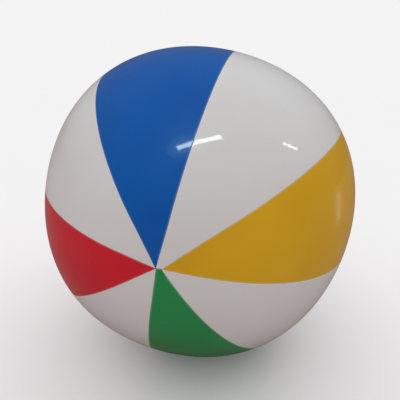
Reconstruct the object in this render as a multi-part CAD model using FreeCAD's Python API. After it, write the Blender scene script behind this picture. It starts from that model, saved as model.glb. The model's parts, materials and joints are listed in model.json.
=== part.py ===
import FreeCAD, Part
import math
import os

# Inflatable beach ball, inflated. Millimetres, +Z up, origin at the ball's centre.
# The polar axis, where the eight gores meet, is Y. The front pole is at -Y.
# Angles round the polar axis start at +X and grow towards +Z.

Vector = FreeCAD.Vector
CENTRE = Vector(0, 0, 0)
POLAR_AXIS = Vector(0, -1, 0)

# The ball
ball_radius = 200.0
film_thickness = 0.3
gore_names = [
    "blue_gore",
    "white_valve_gore",
    "red_gore",
    "white_gore_red_green",
    "green_gore",
    "white_gore_green_yellow",
    "yellow_gore",
    "white_gore_yellow_blue",
]
gore_angle = 360.0 / len(gore_names)
first_seam_angle = 77.0
tip_radius = 1.6

# The weld fins, which stand inwards along both edges of every gore
fin_depth = 4.0
fin_start_radius = 17.0

# The patches inside the two poles
patch_radius = 15.0
patch_thickness = 0.3

# The valve's place: on the middle line of one white gore, near the rear pole
valve_gore = gore_names.index("white_valve_gore")
valve_from_rear_pole = 35.0

# Flange and collar, welded into the gore. Heights are above the ball's surface.
hole_radius = 10.5
flange_radius = 18.0
flange_thickness = 0.7
collar_radius = 10.2
collar_bore_radius = 9.0
collar_top = 0.9
collar_bottom = -1.6
collar_round = 0.4

# Stem, pushed in
stem_radius = 5.5
stem_top = 3.2
stem_bottom = -12.5
shoulder_radius = 7.4
shoulder_thickness = 1.0
bore_radius = 3.0
socket_radius = 3.3
socket_depth = 6.2
lip_radius = 3.8
lip_height = 0.3
stem_round = 0.4
strap_ring_radius = 6.4
strap_ring_bottom = 1.1
strap_ring_top = 2.3

# Bellows between the collar and the stem's shoulder
bellows_top_radius = 9.6
bellows_bottom_radius = 7.4
bellows_thickness = 0.6

# Strap, a flat loop from the stem's ring to the plug
strap_width = 4.0
strap_thickness = 0.7
strap_stem_end = -7.4
strap_plug_end = -6.4
strap_low = 1.7
strap_high = 3.95
strap_fold_x = -9.0
lug_thickness = 1.0

# Plug
seat_gap = 0.1
head_radius = 5.2
head_thickness = 1.6
head_round = 0.6
peg_top_radius = 3.2
peg_tip_radius = 2.3
peg_length = 4.5
peg_round = 0.5
tab_reach = 8.8
tab_half_width = 2.4
tab_thickness = 0.8

# Check flap, which swings on a round bead beside its boss on the stem
flap_radius = 4.6
flap_thickness = 0.4
flap_gap = 0.05
flap_neck_width = 3.6
flap_hinge_x = -5.25
flap_boss_x = -5.5


def around_pole(angle):
    """Unit vector in the equator's plane, at that angle round the polar axis."""
    turn = math.radians(angle)
    return Vector(math.cos(turn), 0, math.sin(turn))


def meridian_point(radius, from_front, side):
    """Point in a meridian plane, at a radius and an angle from the front pole."""
    turn = math.radians(from_front)
    return side * (radius * math.sin(turn)) + POLAR_AXIS * (radius * math.cos(turn))


def meridian_band(outer, inner, start_angle, side):
    """Face between two arcs in a meridian plane, from pole to pole less the start."""
    angles = [start_angle, 90, 180 - start_angle]
    out = [meridian_point(outer, a, side) for a in angles]
    back = [meridian_point(inner, a, side) for a in reversed(angles)]
    edges = [
        Part.Arc(*out).toShape(),
        Part.LineSegment(out[-1], back[0]).toShape(),
        Part.Arc(*back).toShape(),
        Part.LineSegment(back[-1], out[0]).toShape(),
    ]
    return Part.Face(Part.Wire(edges))


def angle_at(distance, radius):
    """Angle from the pole of a point at that distance from the polar axis."""
    return math.degrees(math.asin(distance / radius))


def valve_placement():
    """Valve frame: z outwards, x along the gore away from the rear pole."""
    side = around_pole(first_seam_angle + gore_angle * (valve_gore + 0.5))
    lean = math.radians(valve_from_rear_pole)
    outwards = side * math.sin(lean) - POLAR_AXIS * math.cos(lean)
    along = side * math.cos(lean) + POLAR_AXIS * math.sin(lean)
    across = outwards.cross(along)
    turn = FreeCAD.Rotation(along, across, outwards, "ZXY")
    return FreeCAD.Placement(outwards * ball_radius, turn)


def in_place(shape):
    """Moves a shape from the valve frame to the row frame."""
    moved = shape.copy()
    moved.Placement = valve_placement().multiply(moved.Placement)
    return moved


def turned(points):
    """Solid of revolution round the valve axis, from (radius, height) corners."""
    corners = [Vector(r, 0, z) for r, z in points]
    face = Part.Face(Part.makePolygon(corners + corners[:1]))
    return face.revolve(CENTRE, Vector(0, 0, 1), 360)


def edges_at(shape, radius, height):
    """Circular edges of that radius round the valve axis, at that height."""
    return [
        e
        for e in shape.Edges
        if isinstance(e.Curve, Part.Circle)
        and abs(e.Curve.Radius - radius) < 1e-3
        and abs(e.Curve.Center.z - height) < 1e-3
    ]


def block(x_low, x_high, width, z_low, z_high):
    """Box in the valve frame, centred across."""
    corner = Vector(x_low, -width / 2, z_low)
    return Part.makeBox(x_high - x_low, width, z_high - z_low, corner)


def spherical_disc(outer, thickness, disc_radius, direction):
    """Disc cut from a spherical shell, round that direction."""
    shell = Part.makeSphere(outer).cut(Part.makeSphere(outer - thickness))
    return shell.common(Part.makeCylinder(disc_radius, outer * 2, CENTRE, direction))


def make_gore(index):
    """One gore of film with a weld fin standing inwards along each edge."""
    start = first_seam_angle + gore_angle * index
    inner = ball_radius - film_thickness
    tip_angle = angle_at(tip_radius, ball_radius)
    band = meridian_band(ball_radius, inner, tip_angle, around_pole(start))
    gore = band.revolve(CENTRE, POLAR_AXIS, gore_angle)
    fin_angle = angle_at(fin_start_radius, ball_radius)
    middle = around_pole(start + gore_angle / 2)
    for seam in (start, start + gore_angle):
        side = around_pole(seam)
        fin_outer = ball_radius - film_thickness / 2
        fin_face = meridian_band(fin_outer, inner - fin_depth, fin_angle, side)
        normal = side.cross(POLAR_AXIS)
        if normal.dot(middle) < 0:
            normal = normal * -1
        gore = gore.fuse(fin_face.extrude(normal * film_thickness))
    if index == valve_gore:
        hole = Part.makeCylinder(hole_radius, 20, Vector(0, 0, -10))
        gore = gore.cut(in_place(hole))
    return gore.removeSplitter()


def make_pole_patch(direction):
    """Round patch inside the tips of the gores."""
    outer = ball_radius - film_thickness
    return spherical_disc(outer, patch_thickness, patch_radius, direction)


def make_flange():
    """Disc welded under the film, with the collar that stands in the gore's hole."""
    outwards = valve_placement().Rotation.multVec(Vector(0, 0, 1))
    outer = ball_radius - film_thickness
    disc = spherical_disc(outer, flange_thickness, flange_radius, outwards)
    bore = Part.makeCylinder(collar_bore_radius, 20, Vector(0, 0, -10))
    collar = turned(
        [
            (collar_bore_radius, collar_bottom),
            (collar_radius, collar_bottom),
            (collar_radius, collar_top),
            (collar_bore_radius, collar_top),
        ]
    )
    rims = edges_at(collar, collar_radius, collar_top)
    rims += edges_at(collar, collar_bore_radius, collar_top)
    collar = collar.makeFillet(collar_round, rims)
    return disc.cut(in_place(bore)).fuse(in_place(collar)).removeSplitter()


def make_bellows():
    """Cone of thin vinyl that lets the stem push in and pull out."""
    top, bottom = bellows_top_radius, bellows_bottom_radius
    low = stem_bottom + shoulder_thickness
    cone = turned(
        [
            (top - bellows_thickness, collar_bottom),
            (top, collar_bottom),
            (bottom, low),
            (bottom - bellows_thickness, low),
        ]
    )
    return in_place(cone)


def make_stem():
    """Tube with a socket for the plug, a shoulder, a flap seat and a strap ring."""
    shoulder_top = stem_bottom + shoulder_thickness
    tube = turned(
        [
            (bore_radius, stem_bottom - lip_height),
            (lip_radius, stem_bottom - lip_height),
            (lip_radius, stem_bottom),
            (shoulder_radius, stem_bottom),
            (shoulder_radius, shoulder_top),
            (stem_radius, shoulder_top),
            (stem_radius, strap_ring_bottom),
            (strap_ring_radius, strap_ring_bottom),
            (strap_ring_radius, strap_ring_top),
            (stem_radius, strap_ring_top),
            (stem_radius, stem_top),
            (socket_radius, stem_top),
            (socket_radius, stem_top - socket_depth),
            (bore_radius, stem_top - socket_depth),
        ]
    )
    rims = edges_at(tube, stem_radius, stem_top)
    rims += edges_at(tube, strap_ring_radius, strap_ring_top)
    rims += edges_at(tube, strap_ring_radius, strap_ring_bottom)
    tube = tube.makeFillet(stem_round, rims)
    half = lug_thickness / 2
    inside = -(stem_radius - 0.5)
    lug = block(strap_stem_end, inside, strap_width, strap_low - half, strap_low + half)
    flap_bottom = stem_bottom - lip_height - flap_gap - flap_thickness
    boss_end = -(shoulder_radius - 0.6)
    boss = block(boss_end, flap_boss_x, flap_neck_width, flap_bottom, stem_bottom + 0.2)
    return in_place(tube.fuse(lug).fuse(boss).removeSplitter())


def make_strap():
    """Flat strap folded back over itself, from the stem's lug to the plug's lug."""
    rise = (strap_high - strap_low) / 2
    fold_z = strap_low + rise

    def arc(reach):
        return Part.Arc(
            Vector(strap_fold_x, 0, fold_z - reach),
            Vector(strap_fold_x - reach, 0, fold_z),
            Vector(strap_fold_x, 0, fold_z + reach),
        ).toShape()

    def leg(end_x, x, z):
        return Part.LineSegment(Vector(end_x, 0, z), Vector(x, 0, z)).toShape()

    half = strap_thickness / 2
    low, high = strap_low, strap_high
    edges = [
        leg(strap_stem_end, strap_fold_x, low - half),
        arc(rise + half),
        leg(strap_fold_x, strap_plug_end, high + half),
        Part.LineSegment(
            Vector(strap_plug_end, 0, high + half), Vector(strap_plug_end, 0, high - half)
        ).toShape(),
        leg(strap_plug_end, strap_fold_x, high - half),
        arc(rise - half),
        leg(strap_fold_x, strap_stem_end, low + half),
        Part.LineSegment(
            Vector(strap_stem_end, 0, low + half), Vector(strap_stem_end, 0, low - half)
        ).toShape(),
    ]
    wire = Part.Wire(Part.__sortEdges__(edges))
    wire.translate(Vector(0, -strap_width / 2, 0))
    return in_place(Part.Face(wire).extrude(Vector(0, strap_width, 0)))


def make_plug():
    """Head with a pull tab and a strap lug, on a tapered peg that fills the socket."""
    head_bottom = stem_top + seat_gap
    head_top = head_bottom + head_thickness
    body = turned(
        [
            (0, head_bottom - peg_length),
            (peg_tip_radius, head_bottom - peg_length),
            (peg_top_radius, head_bottom),
            (head_radius, head_bottom),
            (head_radius, head_top),
            (0, head_top),
        ]
    )
    body = body.makeFillet(head_round, edges_at(body, head_radius, head_top))
    tip = edges_at(body, peg_tip_radius, head_bottom - peg_length)
    body = body.makeFillet(peg_round, tip)
    tab_low = strap_high - tab_thickness / 2
    tab_end = tab_reach - tab_half_width
    tab = block(0, tab_end, tab_half_width * 2, tab_low, tab_low + tab_thickness)
    end = Part.makeCylinder(tab_half_width, tab_thickness, Vector(tab_end, 0, tab_low))
    half = lug_thickness / 2
    lug_z = strap_high
    lug = block(strap_plug_end, -head_radius + 1, strap_width, lug_z - half, lug_z + half)
    return in_place(body.fuse(tab).fuse(end).fuse(lug).removeSplitter())


def make_flap():
    """Thin disc that air from outside pushes open and air inside pushes shut."""
    top = stem_bottom - lip_height - flap_gap
    low = top - flap_thickness
    disc = Part.makeCylinder(flap_radius, flap_thickness, Vector(0, 0, low))
    neck = block(flap_hinge_x, 0, flap_neck_width, low, top)
    half = flap_thickness / 2
    bead_end = Vector(flap_hinge_x, -flap_neck_width / 2, top - half)
    bead = Part.makeCylinder(half, flap_neck_width, bead_end, Vector(0, 1, 0))
    return in_place(disc.fuse(neck).fuse(bead).removeSplitter())


def main():
    os.makedirs("parts", exist_ok=True)
    parts = {name: make_gore(i) for i, name in enumerate(gore_names)}
    parts["front_pole_patch"] = make_pole_patch(POLAR_AXIS)
    parts["rear_pole_patch"] = make_pole_patch(POLAR_AXIS * -1)
    parts["valve_flange"] = make_flange()
    parts["valve_bellows"] = make_bellows()
    parts["valve_stem"] = make_stem()
    parts["plug_strap"] = make_strap()
    parts["valve_plug"] = make_plug()
    parts["check_flap"] = make_flap()
    for name, shape in parts.items():
        shape.exportStep("parts/" + name + ".step")
        print(name, len(shape.Solids), "solid", shape.isValid(), round(shape.Volume, 1), "mm3")


main()
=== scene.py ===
import json
import math

import bmesh
import bpy
from mathutils import Matrix, Vector, noise
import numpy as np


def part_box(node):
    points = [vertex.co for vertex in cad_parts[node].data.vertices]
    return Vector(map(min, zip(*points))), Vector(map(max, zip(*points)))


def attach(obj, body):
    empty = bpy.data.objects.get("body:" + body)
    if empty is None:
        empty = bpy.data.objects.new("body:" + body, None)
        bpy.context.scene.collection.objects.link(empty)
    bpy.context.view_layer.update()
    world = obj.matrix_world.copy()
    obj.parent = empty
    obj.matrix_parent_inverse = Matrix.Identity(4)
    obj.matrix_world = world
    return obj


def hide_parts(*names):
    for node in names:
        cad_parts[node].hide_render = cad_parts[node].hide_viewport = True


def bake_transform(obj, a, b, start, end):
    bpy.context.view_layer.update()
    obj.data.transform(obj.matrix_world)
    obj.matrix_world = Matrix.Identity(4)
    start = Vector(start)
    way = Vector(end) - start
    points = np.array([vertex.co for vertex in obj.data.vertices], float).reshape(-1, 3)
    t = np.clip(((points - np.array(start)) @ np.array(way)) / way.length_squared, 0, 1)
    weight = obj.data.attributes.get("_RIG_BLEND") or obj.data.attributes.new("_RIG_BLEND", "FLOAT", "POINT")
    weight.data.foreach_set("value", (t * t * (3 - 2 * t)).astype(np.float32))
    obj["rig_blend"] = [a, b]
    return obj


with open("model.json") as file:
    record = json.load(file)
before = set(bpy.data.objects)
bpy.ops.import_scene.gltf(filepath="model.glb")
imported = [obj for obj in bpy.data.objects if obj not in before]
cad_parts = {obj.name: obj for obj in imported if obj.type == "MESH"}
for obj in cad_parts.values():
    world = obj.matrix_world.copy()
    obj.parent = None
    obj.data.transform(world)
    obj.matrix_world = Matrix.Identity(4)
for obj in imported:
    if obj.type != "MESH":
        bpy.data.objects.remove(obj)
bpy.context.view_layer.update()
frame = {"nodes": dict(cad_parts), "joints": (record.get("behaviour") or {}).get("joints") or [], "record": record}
scene = bpy.context.scene
print("frame loaded:", len(frame["nodes"]), "nodes")

mm = 0.001
polarAxis = Vector((0, -1, 0))  # from the ball's centre to its front pole
goreLow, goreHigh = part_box("blue_gore")
ballRadius = round((goreHigh.y - goreLow.y) / 2, 4)
floorHeight = frame["record"]["mounts"][0]["pos_m"][2]

# The valve's own frame, in millimetres: z out of the ball, x away from the rear pole
joints = {joint["name"]: joint for joint in frame["joints"]}
outwards = Vector(joints["stem_pull"]["axis"]).normalized()
sideways = -Vector(joints["plug_swing"]["axis"]).normalized()
valveTurn = Matrix((sideways.cross(outwards), sideways, outwards)).transposed().to_4x4()
valvePlace = Matrix.Translation(outwards * ballRadius) @ valveTurn @ Matrix.Scale(mm, 4)
valveInverse = valvePlace.inverted()


# Steps that several pieces share

def smoothStep(low, high, value):
    share = min(max((value - low) / (high - low), 0), 1)
    return share * share * (3 - 2 * share)


def newVerts(result):
    return [item for item in result["geom"] if isinstance(item, bmesh.types.BMVert)]


def sharpEdges(bm, degrees):
    return [edge for edge in bm.edges if edge.is_manifold and edge.calc_face_angle() > math.radians(degrees)]


def roundEdges(bm, edges, amount, segments=3):
    bmesh.ops.bevel(
        bm,
        geom=edges,
        offset=amount,
        offset_type="OFFSET",
        affect="EDGES",
        segments=segments,
        profile=0.5,
        material=-1,
    )


def thickenInwards(piece, amount):
    thicken = piece.modifiers.new("film", "SOLIDIFY")
    thicken.thickness = amount
    thicken.offset = -1


def makePiece(name, bm, look, body, node):
    mesh = bpy.data.meshes.new(name)
    bm.to_mesh(mesh)
    bm.free()
    mesh.shade_smooth()
    mesh.materials.append(look)
    piece = bpy.data.objects.new(name, mesh)
    scene.collection.objects.link(piece)
    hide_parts(node)
    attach(piece, body)
    return piece


# Material nodes

def newMaterial(name):
    material = bpy.data.materials.new(name)
    material.use_nodes = True
    nodes = material.node_tree.nodes
    return material, nodes, material.node_tree.links, nodes["Principled BSDF"]


def noiseNode(nodes, links, scale, detail, place):
    node = nodes.new("ShaderNodeTexNoise")
    node.inputs["Scale"].default_value = scale
    node.inputs["Detail"].default_value = detail
    links.new(place, node.inputs["Vector"])
    return node.outputs["Fac"]


def rangeNode(nodes, links, value, fromLow, fromHigh, toLow, toHigh):
    node = nodes.new("ShaderNodeMapRange")
    node.interpolation_type = "SMOOTHSTEP"
    node.inputs["From Min"].default_value = fromLow
    node.inputs["From Max"].default_value = fromHigh
    node.inputs["To Min"].default_value = toLow
    node.inputs["To Max"].default_value = toHigh
    links.new(value, node.inputs["Value"])
    return node.outputs["Result"]


def mixNode(nodes, links, share, first, second):
    node = nodes.new("ShaderNodeMix")
    node.data_type = "RGBA"
    for name, value in (("Factor", share), ("A", first), ("B", second)):
        socket = node.inputs[name]
        if isinstance(value, bpy.types.NodeSocket):
            links.new(value, socket)
        elif socket.type == "RGBA":
            socket.default_value = (*value, 1)
        else:
            socket.default_value = value
    return node.outputs["Result"]


def bumpNode(nodes, links, height, distance, strength, under=None):
    node = nodes.new("ShaderNodeBump")
    node.inputs["Distance"].default_value = distance
    node.inputs["Strength"].default_value = strength
    links.new(height, node.inputs["Height"])
    if under:
        links.new(under, node.inputs["Normal"])
    return node.outputs["Normal"]


def markNode(nodes, name):
    node = nodes.new("ShaderNodeAttribute")
    node.attribute_name = name
    return node.outputs["Fac"]


film = {
    "colours": {  # the main colour and the clouded one
        "blue_vinyl": ((0.0, 0.096, 0.41), (0.0, 0.084, 0.375)),
        "red_vinyl": ((0.60, 0.012, 0.026), (0.55, 0.009, 0.021)),
        "green_vinyl": ((0.016, 0.262, 0.072), (0.012, 0.235, 0.062)),
        "yellow_vinyl": ((0.67, 0.385, 0.012), (0.62, 0.350, 0.009)),
        "white_vinyl": ((0.69, 0.69, 0.685), (0.665, 0.665, 0.655)),
    },
    "cloudScale": 9,
    "cloudRange": (0.35, 0.65),
    "paleFade": (0.0002, 0.0016),  # metres from a seam, over which the film is painted paler: partly the welded film's own whitish colour, partly a painted highlight along the seam
    "paleFromPole": (0.004, 0.014),
    "paleMost": 0.30,
    "paleKeep": 0.55,  # the pale colour is this share of the main one, with this much grey added
    "paleGrey": 0.36,
    "roughness": 0.36,
    "smudged": 0.46,
    "smudgeScale": 24,
    "smudgeRange": (0.42, 0.72),
    "waveScale": 14,
    "waveDepth": 0.0006,
    "waveStrength": 0.10,
    "grainScale": 420,
    "grainDepth": 0.00003,
    "grainStrength": 0.30,
    "bend": 1.42,  # refractive index of PVC film and of its surface gloss
    "specular": 0.12,
    "coat": 0.5,
    "coatRoughness": 0.045,
    "coatWaveScale": 22,
    "coatWaveDepth": 0.0005,
    "coatWaveStrength": 0.03,
    "whiteGlow": 0.15,  # light carried through the white film
    "whiteRadius": (1.0, 0.8, 0.7),
    "whiteReach": 0.002,
}


def filmMaterial(slot):
    # glossy PVC film: clouded pigment, a hazy base under a sharp surface, handling marks, a faint wave
    main, clouded = film["colours"][slot]
    material, nodes, links, shader = newMaterial(slot + "_film")
    place = nodes.new("ShaderNodeTexCoord").outputs["Object"]
    clouds = noiseNode(nodes, links, film["cloudScale"], 3, place)
    colour = mixNode(nodes, links, rangeNode(nodes, links, clouds, *film["cloudRange"], 0, 1), main, clouded)
    # a thin paler band along each seam, fading out near the poles: partly the welded film's whitish colour, partly
    # a painted highlight along the seam
    strainedAndGlint = rangeNode(nodes, links, markNode(nodes, "seamGap"), *film["paleFade"], 1, 0)
    fromPole = markNode(nodes, "poleGap")
    amount = rangeNode(nodes, links, fromPole, *film["paleFromPole"], 0, film["paleMost"])
    paleMain = tuple(film["paleKeep"] * part + film["paleGrey"] for part in main)
    pale = mixNode(nodes, links, amount, colour, paleMain)
    colour = mixNode(nodes, links, strainedAndGlint, colour, pale)
    links.new(colour, shader.inputs["Base Color"])

    smudges = noiseNode(nodes, links, film["smudgeScale"], 5, place)
    rough = rangeNode(nodes, links, smudges, *film["smudgeRange"], film["roughness"], film["smudged"])
    links.new(rough, shader.inputs["Roughness"])
    wave = noiseNode(nodes, links, film["waveScale"], 2, place)
    wave = bumpNode(nodes, links, wave, film["waveDepth"], film["waveStrength"])
    grain = noiseNode(nodes, links, film["grainScale"], 3, place)
    grain = bumpNode(nodes, links, grain, film["grainDepth"], film["grainStrength"], wave)
    links.new(grain, shader.inputs["Normal"])
    coatWave = noiseNode(nodes, links, film["coatWaveScale"], 2, place)
    coatWave = bumpNode(nodes, links, coatWave, film["coatWaveDepth"], film["coatWaveStrength"])
    links.new(coatWave, shader.inputs["Coat Normal"])

    shader.inputs["IOR"].default_value = film["bend"]
    shader.inputs["Specular IOR Level"].default_value = film["specular"]
    shader.inputs["Coat Weight"].default_value = film["coat"]
    shader.inputs["Coat Roughness"].default_value = film["coatRoughness"]
    shader.inputs["Coat IOR"].default_value = film["bend"]
    if slot == "white_vinyl":
        shader.inputs["Subsurface Weight"].default_value = film["whiteGlow"]
        shader.inputs["Subsurface Radius"].default_value = film["whiteRadius"]
        shader.inputs["Subsurface Scale"].default_value = film["whiteReach"]
    return material


mouldedVinyl = {
    "main": (0.74, 0.75, 0.76),
    "clouded": (0.66, 0.68, 0.70),
    "cloudScale": 260,
    "cloudRange": (0.35, 0.70),
    "roughness": 0.30,
    "worn": 0.44,
    "wearScale": 600,
    "wearRange": (0.4, 0.7),
    "grainScale": 2600,
    "grainDepth": 0.00004,
    "grainStrength": 0.35,
    "glow": 0.45,
    "glowRadius": (1.0, 0.95, 0.9),
    "glowReach": 0.0015,
    "coat": 0.25,
    "coatRoughness": 0.12,
}


def mouldedMaterial(name):
    # soft clear-white PVC as it comes from a mould: milky, fine grained, a little worn
    material, nodes, links, shader = newMaterial(name)
    place = nodes.new("ShaderNodeTexCoord").outputs["Object"]
    clouds = noiseNode(nodes, links, mouldedVinyl["cloudScale"], 3, place)
    share = rangeNode(nodes, links, clouds, *mouldedVinyl["cloudRange"], 0, 1)
    colour = mixNode(nodes, links, share, mouldedVinyl["main"], mouldedVinyl["clouded"])
    links.new(colour, shader.inputs["Base Color"])
    wear = noiseNode(nodes, links, mouldedVinyl["wearScale"], 4, place)
    ends = (mouldedVinyl["roughness"], mouldedVinyl["worn"])
    rough = rangeNode(nodes, links, wear, *mouldedVinyl["wearRange"], *ends)
    links.new(rough, shader.inputs["Roughness"])
    grain = noiseNode(nodes, links, mouldedVinyl["grainScale"], 2, place)
    grain = bumpNode(nodes, links, grain, mouldedVinyl["grainDepth"], mouldedVinyl["grainStrength"])
    links.new(grain, shader.inputs["Normal"])
    shader.inputs["Subsurface Weight"].default_value = mouldedVinyl["glow"]
    shader.inputs["Subsurface Radius"].default_value = mouldedVinyl["glowRadius"]
    shader.inputs["Subsurface Scale"].default_value = mouldedVinyl["glowReach"]
    shader.inputs["Coat Weight"].default_value = mouldedVinyl["coat"]
    shader.inputs["Coat Roughness"].default_value = mouldedVinyl["coatRoughness"]
    return material


filmLooks = {slot: filmMaterial(slot) for slot in film["colours"]}
mouldedLook = mouldedMaterial("moulded_valve_vinyl")
print("materials made:", len(filmLooks) + 1)


# The film: eight gores, each with a weld fin standing inwards along both edges

skin = {
    "firstSeam": 77.0,  # degrees round the polar axis, from +X towards +Z
    "gore": 45.0,
    "lobes": 0.0125,  # how far the seams stand in and out by turns, a share of the radius
    "lobeCount": 4,
    "lobePeak": 31.75,  # degrees
    "alongSteps": 200,
    "acrossSteps": 48,
    "crowdAlong": 0.78,  # how tightly the points crowd towards the poles, and towards the seams
    "crowdAcross": 0.985,
    "film": 0.3 * mm,
    "seamRound": 0.5 * mm,  # the radius at which the film turns in at a seam
    "onSeam": 1e-7,
    "finDepth": 4 * mm,
    "finFromPole": 17 * mm,
    "flatWithin": 6 * mm,  # of the pole, where the tips lie flat and don't turn in at the seams
    "pucker": 0.02 * mm,  # small waves along the welds
    "puckerLength": 9 * mm,
    "puckerReach": 7 * mm,
    "puckerWander": 5,
    "puckerWanderScale": 12,
    "puckerFrom": 10 * mm,  # of the pole, growing to full size here
    "puckerFull": 30 * mm,
    "tipStart": 0.3 * mm,
    "tipReaches": (40, 40, 40, 40, 40, 130, 60, 60),  # millimetres from the axis
    "tipFall": 1.6,
    "strays": (-0.75, -0.42, -0.35, 0.70, 0.45, 0.60, 0.0, -0.65),  # degrees off each seam's even place
    "calmFrom": 20 * mm,  # of the valve, inside which the film is a true sphere
    "calmTo": 75 * mm,
}
goreTurn = math.radians(skin["gore"])

# Where each seam ends beside the pole, in millimetres along X and Z, because hand-fed tips never quite meet
tipMisses = {
    "front": (
        (-2.0, -2.3), (-2.2, -2.0), (-2.3, -1.8), (-2.3, -2.4),
        (-1.9, -2.7), (3.4, -2.6), (3.9, -2.4), (3.7, -2.3),
    ),
    "rear": (
        (0.6, 1.2), (-0.9, 1.4), (-1.1, 0.9), (-1.2, -0.2),
        (-0.4, -0.9), (0.8, -0.8), (1.2, -0.3), (1.3, 0.4),
    ),
}

goreLooks = (
    ("blueGore", "blue_gore", "blue_vinyl"),
    ("whiteValveGore", "white_valve_gore", "white_vinyl"),
    ("redGore", "red_gore", "red_vinyl"),
    ("whiteGoreRedGreen", "white_gore_red_green", "white_vinyl"),
    ("greenGore", "green_gore", "green_vinyl"),
    ("whiteGoreGreenYellow", "white_gore_green_yellow", "white_vinyl"),
    ("yellowGore", "yellow_gore", "yellow_vinyl"),
    ("whiteGoreYellowBlue", "white_gore_yellow_blue", "white_vinyl"),
)

# What each point of the film keeps: metres to the nearest seam and to the polar axis,
# and its place in the gore
filmMarks = ("seamGap", "poleGap", "acrossShare", "downAngle")


def skinRadius(around, down):
    # the seams stand out and in by turns, most at the equator
    lobe = math.cos(skin["lobeCount"] * (around - math.radians(skin["lobePeak"])))
    side = Vector((math.cos(around), 0, math.sin(around)))
    fromValve = (polarAxis * math.cos(down) + side * math.sin(down) - outwards).length * ballRadius
    lobe *= smoothStep(skin["calmFrom"], skin["calmTo"], fromValve)
    return ballRadius * (1 + skin["lobes"] * lobe * math.sin(down) ** 2)


def crowd(share, amount):
    return share - amount * math.sin(2 * math.pi * share) / (2 * math.pi)


def tipMiss(index, share, down, fromAxis):
    # how far the film is pulled aside near a pole: the two seams beside it, each fading over its own reach
    misses = tipMisses["front" if down < math.pi / 2 else "rear"]
    ends = []
    for seam in (index, (index + 1) % len(misses)):
        fall = max(0, 1 - fromAxis / (skin["tipReaches"][seam] * mm)) ** skin["tipFall"]
        ends.append(Vector((misses[seam][0], 0, misses[seam][1])) * fall * mm)
    return ends[0].lerp(ends[1], share)


def skinPoint(index, share, down):
    # a point on the film and how far it is from the nearest seam;
    # share runs across the gore, down is the angle from the front pole
    stray = skin["strays"][index]
    nextStray = skin["strays"][(index + 1) % len(skin["strays"])]
    degrees = skin["firstSeam"] + stray + (skin["gore"] + nextStray - stray) * share
    around = math.radians(degrees) + goreTurn * index
    side = Vector((math.cos(around), 0, math.sin(around)))
    radius = skinRadius(around, down)
    fromAxis = radius * math.sin(down)
    width = fromAxis * goreTurn
    gap = min(share, 1 - share) * width
    bend = min(skin["seamRound"], width / 4)
    drop = bend - math.sqrt(bend * bend - max(bend - gap, 0) ** 2)
    drop *= smoothStep(skin["flatWithin"], skin["finFromPole"], fromAxis)
    point = (polarAxis * math.cos(down) + side * math.sin(down)) * radius
    point = (point + tipMiss(index, share, down, fromAxis)).normalized()
    phase = 2 * math.pi * ballRadius * down / skin["puckerLength"]
    phase += skin["puckerWander"] * noise.noise(point * skin["puckerWanderScale"])
    pucker = skin["pucker"] * math.cos(phase) * math.exp(-gap / skin["puckerReach"])
    pucker *= smoothStep(skin["puckerFrom"], skin["puckerFull"], fromAxis)
    return point * (radius - drop + pucker), gap


def goreSheet(index):
    start = math.radians(skin["firstSeam"]) + goreTurn * index
    side = Vector((math.cos(start), 0, math.sin(start)))
    tip = skin["tipStart"] / ballRadius
    length = math.pi - 2 * tip
    centre = Vector((0, 0, 0))
    axis = polarAxis.cross(side)
    bm = bmesh.new()
    first = bm.verts.new(polarAxis * math.cos(tip) + side * math.sin(tip))
    bmesh.ops.spin(bm, geom=[first], cent=centre, axis=axis, angle=length, steps=skin["alongSteps"])
    line = bm.verts[:] + bm.edges[:]
    bmesh.ops.spin(bm, geom=line, cent=centre, axis=polarAxis, angle=goreTurn, steps=skin["acrossSteps"])
    bmesh.ops.recalc_face_normals(bm, faces=bm.faces)
    bm.faces.ensure_lookup_table()
    middle = bm.faces[len(bm.faces) // 2]
    if middle.normal.dot(middle.calc_center_median()) < 0:
        bmesh.ops.reverse_faces(bm, faces=bm.faces)

    gapKey, poleKey, shareKey, downKey = (bm.verts.layers.float.new(name) for name in filmMarks)
    for vert in bm.verts:
        down = math.acos(max(-1, min(1, -vert.co.y)))
        turn = (math.atan2(vert.co.z, vert.co.x) - start + math.pi) % (2 * math.pi) - math.pi
        share = crowd(min(max(turn / goreTurn, 0), 1), skin["crowdAcross"])
        fall = crowd((down - tip) / length, skin["crowdAlong"])
        down = tip + length * min(max(fall, 0), 1)
        vert.co, vert[gapKey] = skinPoint(index, share, down)
        vert[poleKey] = ballRadius * math.sin(down)
        vert[shareKey] = share
        vert[downKey] = down
    return bm


def addFins(bm):
    gapKey, poleKey = (bm.verts.layers.float[name] for name in filmMarks[:2])

    def atSeam(vert):
        return vert[gapKey] < skin["onSeam"] and vert[poleKey] > skin["finFromPole"]

    edges = [edge for edge in bm.edges if edge.is_boundary and all(atSeam(vert) for vert in edge.verts)]
    for vert in newVerts(bmesh.ops.extrude_edge_only(bm, edges=edges)):
        vert.co -= vert.co.normalized() * skin["finDepth"]


# The valve's seat in its gore, in millimetres: the film is cut round and welded down on the flange's disc

seat = {
    "block": 25.0,  # half the side of the opening made in the gore's own grid
    "outer": 20.0,
    "joinSteps": 4,  # rows between that opening and the first round ring
    "rings": (18.6, 17.9, 17.4, 17.0, 16.0, 14.6, 13.2, 12.8, 12.4, 11.8, 11.2, 10.7, 10.4, 10.25),
    "weldOuter": 17.5,
    "weldInner": 12.6,
    "weldDepth": 0.14,
    "weldFade": 0.4,  # how far each edge of the weld reaches out of it, and into it
    "weldTurn": 0.2,
    "edgeRise": 0.12,
    "edgeFrom": 10.3,
    "edgeTo": 11.6,
}


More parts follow.
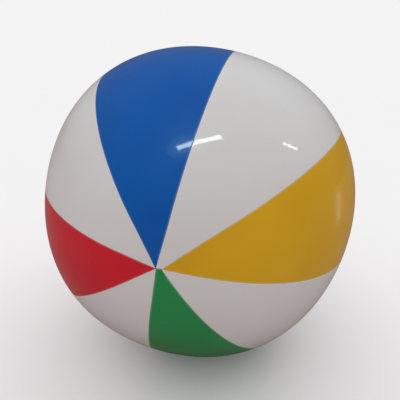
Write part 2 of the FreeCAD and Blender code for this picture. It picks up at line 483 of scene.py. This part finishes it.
def seatLift(distance):
    # out of the ball's surface, at a distance from the valve's axis
    outer, inner = seat["weldOuter"], seat["weldInner"]
    fade, turn = seat["weldFade"], seat["weldTurn"]
    weld = smoothStep(outer + fade, outer - turn, distance)
    weld *= 1 - smoothStep(inner + turn, inner - fade, distance)
    edge = 1 - smoothStep(seat["edgeFrom"], seat["edgeTo"], distance)
    return seat["edgeRise"] * edge - seat["weldDepth"] * weld


def toSeat(vert, distance, gapKey):
    # moves a point to that distance from the valve's axis, on the film
    place = valveInverse @ vert.co
    flat = Vector((place.x, place.y, 0)).normalized() * distance
    point = (valvePlace @ flat).normalized()
    around, down = math.atan2(point.z, point.x), math.acos(-point.y)
    vert.co = point * (skinRadius(around, down) + seatLift(distance) * mm)
    vert[gapKey] = 1  # far from any seam


def openSeat(bm):
    gapKey, shareKey, downKey = (bm.verts.layers.float[filmMarks[place]] for place in (0, 2, 3))
    seatDown = math.acos(-outwards.y)
    goreWidth = ballRadius * math.sin(seatDown) * goreTurn
    acrossReach = seat["block"] * mm / goreWidth
    downReach = seat["block"] * mm / ballRadius

    def inBlock(face):
        share = sum(vert[shareKey] for vert in face.verts) / len(face.verts)
        down = sum(vert[downKey] for vert in face.verts) / len(face.verts)
        return abs(share - 0.5) < acrossReach and abs(down - seatDown) < downReach

    def nextLoop(made):
        chosen = set(made)
        return [edge for edge in bm.edges if edge.is_boundary and all(vert in chosen for vert in edge.verts)]

    opened = [face for face in bm.faces if inBlock(face)]
    rim = [edge for face in opened for edge in face.edges]
    bmesh.ops.delete(bm, geom=opened, context="FACES")
    loop = list({edge for edge in rim if edge.is_valid and edge.is_boundary})
    for step in range(seat["joinSteps"]):
        made = newVerts(bmesh.ops.extrude_edge_only(bm, edges=loop))
        for vert in made:
            place = valveInverse @ vert.co
            reach = math.hypot(place.x, place.y)
            toSeat(vert, reach + (seat["outer"] - reach) / (seat["joinSteps"] - step), gapKey)
        loop = nextLoop(made)
    for radius in seat["rings"]:
        made = newVerts(bmesh.ops.extrude_edge_only(bm, edges=loop))
        for vert in made:
            toSeat(vert, radius, gapKey)
        loop = nextLoop(made)


for index, (name, node, slot) in enumerate(goreLooks):
    bm = goreSheet(index)
    addFins(bm)
    if node == "white_valve_gore":
        openSeat(bm)
    gore = makePiece(name, bm, filmLooks[slot], "ball", node)
    thickenInwards(gore, skin["film"])
print("gores made:", len(goreLooks))


# The round patches inside the two poles, in millimetres: flat discs, with only their rims close under the film

patch = {"radius": 15.0, "thickness": 0.3, "under": 0.34, "steps": 72}


def makePolePatch(name, node, axis):
    bm = bmesh.new()
    turn = axis.to_track_quat("Z", "Y").to_matrix().to_4x4()
    bmesh.ops.create_circle(bm, cap_ends=True, segments=patch["steps"], radius=patch["radius"] * mm)
    reach = ballRadius - patch["under"] * mm
    for vert in bm.verts:
        height = math.sqrt(reach * reach - vert.co.x ** 2 - vert.co.y ** 2)
        vert.co = turn @ Vector((vert.co.x, vert.co.y, height))
    piece = makePiece(name, bm, filmLooks["white_vinyl"], "ball", node)
    thickenInwards(piece, patch["thickness"] * mm)


makePolePatch("frontPolePatch", "front_pole_patch", polarAxis)
makePolePatch("rearPolePatch", "rear_pole_patch", -polarAxis)
print("pole patches made")


# The valve, in its own frame in millimetres

lathing = {
    "steps": 96,
    "merge": 1e-4,
    "sharp": 28,  # degrees between faces, from which an edge is rounded
}


def lathe(corners, bevel, segments=3):
    # turns an outline of (radius, height) corners round the valve's axis and rounds its sharp edges;
    # the outline closes on itself, unless it starts and ends on the axis
    bm = bmesh.new()
    verts = [bm.verts.new((radius, 0, height)) for radius, height in corners]
    first = 1 if corners[0][0] == 0 else 0
    edges = [bm.edges.new((verts[i - 1], verts[i])) for i in range(first, len(verts))]
    bmesh.ops.spin(
        bm,
        geom=verts + edges,
        cent=(0, 0, 0),
        axis=(0, 0, 1),
        angle=2 * math.pi,
        steps=lathing["steps"],
        use_merge=True,
    )
    bmesh.ops.remove_doubles(bm, verts=bm.verts, dist=lathing["merge"])
    bmesh.ops.recalc_face_normals(bm, faces=bm.faces)
    roundEdges(bm, sharpEdges(bm, lathing["sharp"]), bevel, segments)
    bmesh.ops.recalc_face_normals(bm, faces=bm.faces)
    return bm


def softBlock(size, middle, bevel):
    bm = bmesh.new()
    bmesh.ops.create_cube(bm, size=1)
    bmesh.ops.scale(bm, vec=size, verts=bm.verts)
    bmesh.ops.translate(bm, vec=middle, verts=bm.verts)
    roundEdges(bm, bm.edges[:], bevel)
    return bm


def valvePiece(name, parts, body, node):
    # moulds the parts into one solid and puts it in place on the ball
    made = []
    for bm in parts:
        bm.transform(valvePlace)
        mesh = bpy.data.meshes.new(name)
        bm.to_mesh(mesh)
        bm.free()
        piece = bpy.data.objects.new(name, mesh)
        scene.collection.objects.link(piece)
        made.append(piece)
    whole = made[0]
    for extra in made[1:]:
        union = whole.modifiers.new("union", "BOOLEAN")
        union.operation = "UNION"
        union.solver = "EXACT"
        union.object = extra
        bpy.context.view_layer.update()
        solved = whole.evaluated_get(bpy.context.evaluated_depsgraph_get())
        joined = bpy.data.meshes.new_from_object(solved)
        whole.modifiers.clear()
        whole.data = joined
        bpy.data.objects.remove(extra)
    whole.data.shade_smooth()
    whole.data.materials.clear()
    whole.data.materials.append(mouldedLook)
    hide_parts(node)
    if body:
        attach(whole, body)
    return whole


def blendPiece(piece, fromBody, toBody, first, last):
    # bends the piece between two bodies, from one point of the valve's frame to another
    start, end = valvePlace @ Vector(first), valvePlace @ Vector(last)
    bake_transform(piece, fromBody, toBody, start=start, end=end)


def sphereHeight(radius, under):
    # height of the ball's surface at a distance from the valve's axis, less a depth under it
    ball = ballRadius / mm - under
    return math.sqrt(ball * ball - radius * radius) - ballRadius / mm


flange = {
    "rings": (18.0, 16.0, 14.0, 12.0),
    "under": 0.45,  # below the ball's surface
    "thickness": 0.7,
    "collarRadius": 10.2,
    "collarBore": 9.0,
    "collarTop": 0.9,
    "collarBottom": -1.6,
    "bevel": 0.3,
}


def makeFlange():
    under = flange["under"]
    foot = under + flange["thickness"]
    corners = [
        *[(radius, sphereHeight(radius, under)) for radius in flange["rings"]],
        (flange["collarRadius"], sphereHeight(flange["collarRadius"], under)),
        (flange["collarRadius"], flange["collarTop"]),
        (flange["collarBore"], flange["collarTop"]),
        (flange["collarBore"], flange["collarBottom"]),
        (flange["collarRadius"], flange["collarBottom"]),
        *[(radius, sphereHeight(radius, foot)) for radius in reversed(flange["rings"])],
    ]
    valvePiece("valveFlange", [lathe(corners, flange["bevel"])], "ball", "valve_flange")


stem = {
    "footRadius": 3.8,
    "footDepth": 0.3,
    "bottom": -12.5,
    "shoulderRadius": 7.4,
    "shoulderTop": -11.5,
    "radius": 5.5,
    "top": 3.2,
    "bore": 3.0,
    "socket": 3.3,
    "socketBottom": -3.0,
    "ringRadius": 6.4,
    "ringBottom": 1.1,
    "ringTop": 2.3,
    "bevel": 0.22,
    "lug": ((2.4, 4.0, 1.0), (-6.2, 0, 1.7), 0.2),  # size, middle and bevel
    "boss": ((1.2, 3.6, 1.0), (-6.15, 0, -12.75), 0.15),
}


def makeStem():
    corners = (
        (stem["bore"], stem["bottom"] - stem["footDepth"]),
        (stem["footRadius"], stem["bottom"] - stem["footDepth"]),
        (stem["footRadius"], stem["bottom"]),
        (stem["shoulderRadius"], stem["bottom"]),
        (stem["shoulderRadius"], stem["shoulderTop"]),
        (stem["radius"], stem["shoulderTop"]),
        (stem["radius"], stem["ringBottom"]),
        (stem["ringRadius"], stem["ringBottom"]),
        (stem["ringRadius"], stem["ringTop"]),
        (stem["radius"], stem["ringTop"]),
        (stem["radius"], stem["top"]),
        (stem["socket"], stem["top"]),
        (stem["socket"], stem["socketBottom"]),
        (stem["bore"], stem["socketBottom"]),
    )
    parts = [lathe(corners, stem["bevel"]), softBlock(*stem["lug"]), softBlock(*stem["boss"])]
    valvePiece("valveStem", parts, "stem", "valve_stem")


bellows = {
    "outer": ((9.7, -1.7), (9.55, -3.0), (9.35, -5.5), (8.9, -8.0), (8.15, -10.2), (7.3, -11.45)),
    "inner": ((6.7, -11.45), (7.5, -9.9), (8.3, -7.8), (8.75, -5.4), (8.95, -3.0), (9.05, -1.7)),
    "bevel": 0.12,
}


def makeBellows():
    # a thin wall that hangs from the collar's foot in a soft S and holds the stem's shoulder
    wall = lathe(bellows["outer"] + bellows["inner"], bellows["bevel"], 2)
    piece = valvePiece("valveBellows", [wall], None, "valve_bellows")
    blendPiece(piece, "ball", "stem", (0, 0, flange["collarBottom"]), (0, 0, stem["shoulderTop"]))


strap = {
    "width": 4.0,
    "thickness": 0.7,
    "low": 1.7,
    "high": 3.95,
    "foldX": -9.0,
    "foldSteps": 20,
    "stemEnd": -6.9,
    "plugEnd": -6.0,
    "straight": 1.5,  # runs longer than this are cut up, so that they bend smoothly
    "cuts": 7,
    "sharp": 60,  # degrees
    "bevel": 0.16,
}


def makeStrap():
    # a flat ribbon from the stem's lug, folded back over itself to the plug's lug
    bm = bmesh.new()
    bmesh.ops.create_grid(bm, x_segments=1, y_segments=1, size=0.5)
    turn = Matrix.Rotation(math.pi / 2, 4, "Y")
    bmesh.ops.transform(bm, matrix=turn, verts=bm.verts)
    bmesh.ops.scale(bm, vec=(1, strap["width"], strap["thickness"]), verts=bm.verts)
    bmesh.ops.translate(bm, vec=(strap["stemEnd"], 0, strap["low"]), verts=bm.verts)

    def pullTo(face, x):
        made = bmesh.ops.extrude_face_region(bm, geom=[face])
        verts = newVerts(made)
        bmesh.ops.translate(bm, vec=(x - verts[0].co.x, 0, 0), verts=verts)
        return next(item for item in made["geom"] if isinstance(item, bmesh.types.BMFace))

    bm.faces.ensure_lookup_table()
    end = pullTo(bm.faces[0], strap["foldX"])
    folded = bmesh.ops.spin(
        bm,
        geom=[end, *end.edges, *end.verts],
        cent=(strap["foldX"], 0, (strap["low"] + strap["high"]) / 2),
        axis=(0, 1, 0),
        angle=math.pi,
        steps=strap["foldSteps"],
    )
    end = next(item for item in folded["geom_last"] if isinstance(item, bmesh.types.BMFace))
    pullTo(end, strap["plugEnd"])
    inner = [face for face in bm.faces if all(len(edge.link_faces) > 2 for edge in face.edges)]
    bmesh.ops.delete(bm, geom=inner, context="FACES_ONLY")
    runs = [edge for edge in bm.edges if abs(edge.verts[0].co.x - edge.verts[1].co.x) > strap["straight"]]
    bmesh.ops.subdivide_edges(bm, edges=runs, cuts=strap["cuts"], use_grid_fill=True)
    roundEdges(bm, sharpEdges(bm, strap["sharp"]), strap["bevel"])
    bmesh.ops.recalc_face_normals(bm, faces=bm.faces)
    piece = valvePiece("plugStrap", [bm], None, "plug_strap")
    first, last = ((strap["foldX"], 0, strap[key]) for key in ("low", "high"))
    blendPiece(piece, "stem", "plug", first, last)


plug = {
    "seat": 3.3,
    "headRadius": 5.2,
    "headTop": 4.9,
    "dishRadius": 3.6,  # the shallow dish in the head
    "dishFloor": 3.2,
    "dishDepth": 0.35,
    "pegTop": 3.2,
    "pegTip": 2.3,
    "pegLength": 4.5,
    "bevel": 0.28,
    "tabStart": 2.5,
    "tabReach": 6.4,
    "tabRadius": 2.4,
    "tabSteps": 48,
    "tabThickness": 0.8,
    "tabSharp": 60,  # degrees
    "tabBevel": 0.2,
    "lugSize": (2.2, 4.0, 1.0),
    "lugX": -5.3,
    "lugBevel": 0.2,
}


def makePullTab():
    bm = bmesh.new()
    bmesh.ops.create_circle(bm, cap_ends=True, segments=plug["tabSteps"], radius=plug["tabRadius"])
    for vert in bm.verts:
        vert.co.x += plug["tabReach"] if vert.co.x > 0 else plug["tabStart"]
    made = bmesh.ops.extrude_face_region(bm, geom=bm.faces[:])
    bmesh.ops.translate(bm, vec=(0, 0, plug["tabThickness"]), verts=newVerts(made))
    bmesh.ops.translate(bm, vec=(0, 0, strap["high"] - plug["tabThickness"] / 2), verts=bm.verts)
    bmesh.ops.recalc_face_normals(bm, faces=bm.faces)
    roundEdges(bm, sharpEdges(bm, plug["tabSharp"]), plug["tabBevel"])
    return bm


def makePlug():
    pegEnd = plug["seat"] - plug["pegLength"]
    dish = plug["headTop"] - plug["dishDepth"]
    corners = (
        (0, pegEnd),
        (plug["pegTip"], pegEnd),
        (plug["pegTop"], plug["seat"]),
        (plug["headRadius"], plug["seat"]),
        (plug["headRadius"], plug["headTop"]),
        (plug["dishRadius"], plug["headTop"]),
        (plug["dishFloor"], dish),
        (0, dish),
    )
    lug = softBlock(plug["lugSize"], (plug["lugX"], 0, strap["high"]), plug["lugBevel"])
    valvePiece("valvePlug", [lathe(corners, plug["bevel"]), makePullTab(), lug], "plug", "valve_plug")


flap = {
    "radius": 4.6,
    "top": -12.85,
    "thickness": 0.4,
    "hinge": -5.25,
    "neckLength": 2.4,
    "neckWidth": 3.6,
    "neckThickness": 0.32,
    "bevel": 0.1,
}


def makeFlap():
    low = flap["top"] - flap["thickness"]
    corners = ((0, flap["top"]), (flap["radius"], flap["top"]), (flap["radius"], low), (0, low))
    size = (flap["neckLength"], flap["neckWidth"], flap["neckThickness"])
    middle = (flap["hinge"] + flap["neckLength"] / 2, 0, flap["top"] - flap["thickness"] / 2)
    parts = [lathe(corners, flap["bevel"], 2), softBlock(size, middle, flap["bevel"])]
    valvePiece("checkFlap", parts, "flap", "check_flap")


makeFlange()
makeBellows()
makeStem()
makeStrap()
makePlug()
makeFlap()
print("valve made")


# The room: a pale floor, soft light from above, and lamps that show only in the gloss.
# The camera, the soft light and the gloss each get their own brightness of floor and surroundings

room = {
    "floorSize": 60.0,
    "floorSquares": 8,
    "floorCloudScale": 0.8,
    "floorClouded": 0.985,
    "floorSeen": (0.86, 0.86, 0.865),
    "floorLit": (0.51, 0.435, 0.415),  # what the floor throws back on the ball
    "floorMirrored": (0.27, 0.205, 0.19),
    "ceiling": (1.165, 1.165, 1.175),
    "walls": (0.60, 0.545, 0.535),
    "ceilingFrom": 0.80,  # height on a sphere of one, at which the walls have turned into ceiling
    "mirroredCeiling": (0.15, 0.21, 0.25),  # what the gloss shows is darker than what lights the ball
    "mirroredWalls": (0.15, 0.095, 0.08),
    "seen": (0.90, 0.90, 0.90),
}


def makeFloor():
    squares = room["floorSquares"]
    bm = bmesh.new()
    bmesh.ops.create_grid(bm, x_segments=squares, y_segments=squares, size=room["floorSize"] / 2)
    bmesh.ops.translate(bm, vec=(0, 0, floorHeight), verts=bm.verts)
    mesh = bpy.data.meshes.new("floor")
    bm.to_mesh(mesh)
    bm.free()
    material, nodes, links, shader = newMaterial("floorPaint")
    place = nodes.new("ShaderNodeTexCoord").outputs["Object"]
    cloud = noiseNode(nodes, links, room["floorCloudScale"], 2, place)
    clouded = tuple(part * room["floorClouded"] for part in room["floorSeen"])
    pale = mixNode(nodes, links, cloud, room["floorSeen"], clouded)
    path = nodes.new("ShaderNodeLightPath")
    colour = mixNode(nodes, links, path.outputs["Is Glossy Ray"], room["floorLit"], room["floorMirrored"])
    colour = mixNode(nodes, links, path.outputs["Is Camera Ray"], colour, pale)
    links.new(colour, shader.inputs["Base Color"])
    shader.inputs["Roughness"].default_value = 1
    shader.inputs["Specular IOR Level"].default_value = 0
    mesh.materials.append(material)
    floor = bpy.data.objects.new("floor", mesh)
    scene.collection.objects.link(floor)


def makeSky():
    world = bpy.data.worlds.new("room")
    scene.world = world
    world.use_nodes = True
    nodes, links = world.node_tree.nodes, world.node_tree.links
    split = nodes.new("ShaderNodeSeparateXYZ")
    links.new(nodes.new("ShaderNodeTexCoord").outputs["Generated"], split.inputs["Vector"])
    path = nodes.new("ShaderNodeLightPath")
    height = rangeNode(nodes, links, split.outputs["Z"], 0.0, room["ceilingFrom"], 0, 1)
    lit = mixNode(nodes, links, height, room["walls"], room["ceiling"])
    mirrored = mixNode(nodes, links, height, room["mirroredWalls"], room["mirroredCeiling"])
    colour = mixNode(nodes, links, path.outputs["Is Glossy Ray"], lit, mirrored)
    colour = mixNode(nodes, links, path.outputs["Is Camera Ray"], colour, room["seen"])
    links.new(colour, nodes["Background"].inputs["Color"])


glowLook = {"shape": "ELLIPSE", "colour": (0.45, 0.85, 1.0)}
lamps = {
    "nearTube": {
        "from": (-0.215, -1.524, 1.806),
        "to": (0.683, -1.075, 2.006),
        "width": 0.115,
        "radiance": 29,
        "colour": (0.80, 1.0, 0.97),
    },
    "tubeGlow": {
        "from": (-0.32, -1.60, 1.80),
        "to": (0.20, -1.35, 1.91),
        "width": 0.32,
        "radiance": 1.5,
        **glowLook,
    },
    "tubeHalo": {
        "from": (-0.46, -1.68, 1.78),
        "to": (0.30, -1.30, 1.94),
        "width": 0.56,
        "radiance": 0.9,
        **glowLook,
    },
    "farTube": {
        "from": (2.089, -0.268, 1.774),
        "to": (2.325, -0.005, 1.455),
        "width": 0.06,
        "radiance": 46,
    },
    "doorway": {
        "from": (0.667, 0.160, 0.015),
        "to": (0.660, 0.165, -0.130),
        "width": 0.055,
        "radiance": 0.75,
    },
    "doorwayGlow": {
        "from": (0.677, 0.160, 0.045),
        "to": (0.670, 0.165, -0.165),
        "width": 0.125,
        "radiance": 0.32,
    },
}


def makeLamp(name, lamp):
    start, end = Vector(lamp["from"]), Vector(lamp["to"])
    length = (end - start).length
    data = bpy.data.lights.new(name, "AREA")
    data.shape = lamp.get("shape", "RECTANGLE")
    data.color = lamp.get("colour", (1, 1, 1))
    data.size = length
    data.size_y = lamp["width"]
    data.energy = lamp["radiance"] * math.pi * length * lamp["width"]
    light = bpy.data.objects.new(name, data)
    light.visible_camera = False
    light.visible_diffuse = False  # the room does the lighting
    scene.collection.objects.link(light)
    run = (end - start).normalized()
    away = ((start + end) / 2).normalized()  # the lamp faces the ball
    cross = away.cross(run).normalized()
    turn = Matrix((run, cross, run.cross(cross).normalized())).transposed().to_4x4()
    light.matrix_world = Matrix.Translation((start + end) / 2) @ turn


view = {
    "azimuth": 10.44,  # degrees
    "elevation": 16.98,
    "distance": 0.5,
    "lens": 32.2,
    "sensor": 36.0,
    "shift": (0.0016, 0.0018),
    "nearest": 0.01,
    "furthest": 100,
}


def makeCamera():
    data = bpy.data.cameras.new("camera")
    data.sensor_width = view["sensor"]
    data.lens = view["lens"]
    data.shift_x, data.shift_y = view["shift"]
    data.clip_start = view["nearest"]
    data.clip_end = view["furthest"]
    camera = bpy.data.objects.new("camera", data)
    scene.collection.objects.link(camera)
    turn, rise = math.radians(view["azimuth"]), math.radians(view["elevation"])
    back = Vector((math.sin(turn) * math.cos(rise), -math.cos(turn) * math.cos(rise), math.sin(rise)))
    camera.location = back * view["distance"]
    camera.rotation_mode = "QUATERNION"
    camera.rotation_quaternion = back.to_track_quat("Z", "Y")
    scene.camera = camera


makeFloor()
makeSky()
for name, lamp in lamps.items():
    makeLamp(name, lamp)
makeCamera()
scene.view_settings.view_transform = "Standard"
print("room made")
